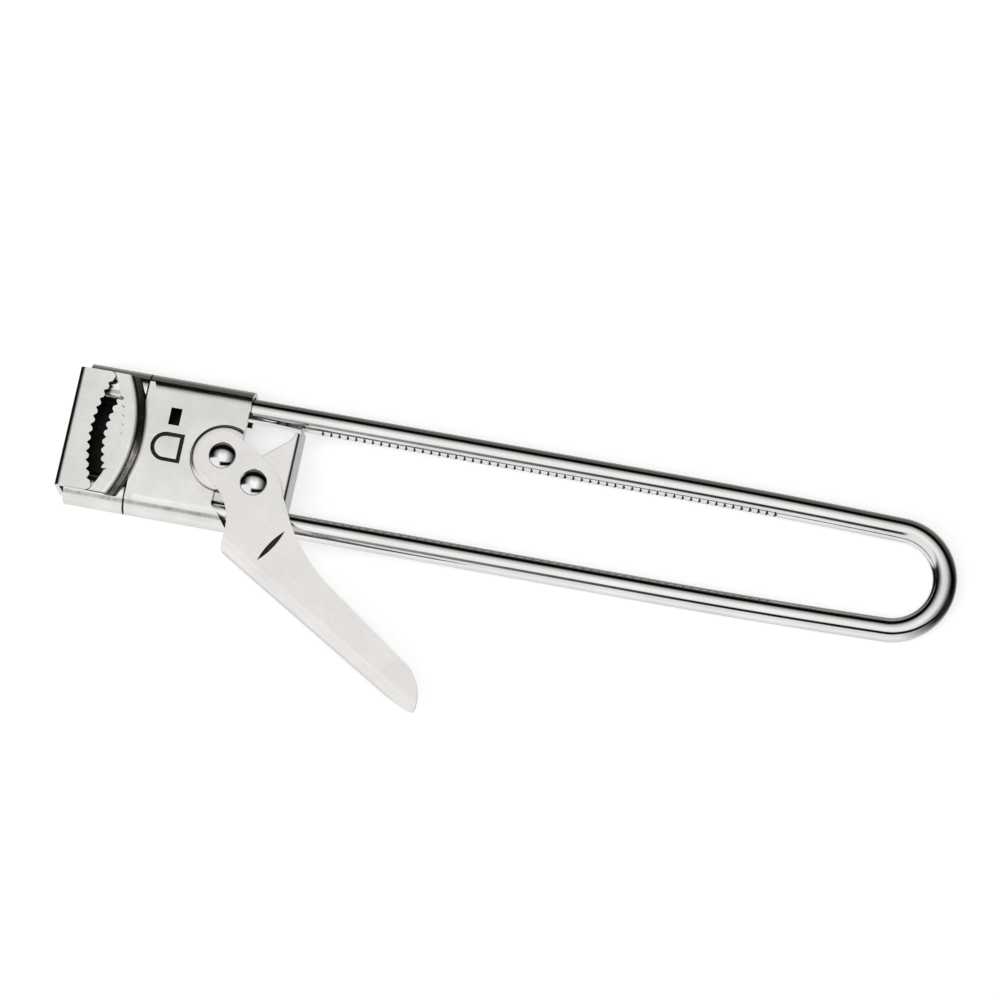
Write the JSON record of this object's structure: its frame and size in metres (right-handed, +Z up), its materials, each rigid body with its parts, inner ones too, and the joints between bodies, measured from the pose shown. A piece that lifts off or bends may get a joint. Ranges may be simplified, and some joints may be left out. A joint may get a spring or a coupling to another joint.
{
  "type": "manual can opener",
  "caption": "Sliding-jaw can and jar opener: U-bent rod handle, fixed toothed jaw, carriage with a second jaw, cam lever and rack pawl.",
  "frame": {"origin": "middle of the fixed jaw's underside, on the surface the tool lies on", "axes": "+X from the fixed jaw along the legs to the loop, +Y towards the leg with the rack, +Z up out of the table"},
  "size_m": [0.2239, 0.0744, 0.014],
  "materials": {
    "rod": "polished stainless bar",
    "stamping": "tumbled bright stainless sheet",
    "lever_sheet": "satin rolled stainless sheet",
    "rivet": "polished",
    "hidden_sheet": "unpolished mill sheet"
  },
  "bodies": {
    "frame": {"handle_rod": "rod", "fixed_jaw": "stamping"},
    "carriage": {"carriage_shell": "stamping", "inner_jaw": "stamping", "carriage_back": "hidden_sheet", "pivot_pad": "stamping", "pivot_rivet": "rivet", "rivet_washer": "hidden_sheet"},
    "lever": {"lever_arm": "lever_sheet", "pawl_rivet": "rivet"},
    "pawl": {"pawl": "lever_sheet"}
  },
  "joints": [
    {"name": "carriage_slide", "type": "slide", "parent": "frame", "child": "carriage", "axis": [1, 0, 0], "range_m": [0, 0.112]},
    {"name": "lever_turn", "type": "hinge", "parent": "carriage", "child": "lever", "pos_m": [0.0314, -0.0009, 0.0118], "axis": [0, 0, 1], "range_deg": [-6, 30.5]},
    {"name": "pawl_turn", "type": "hinge", "parent": "lever", "child": "pawl", "pos_m": [0.04051, -0.00626, 0.0106], "axis": [0, 0, 1], "range_deg": [-59.6, 11.8]}
  ],
  "couplings": [
    {"joint": "pawl_turn", "follows": "lever_turn", "ratio": -1.95}
  ]
}
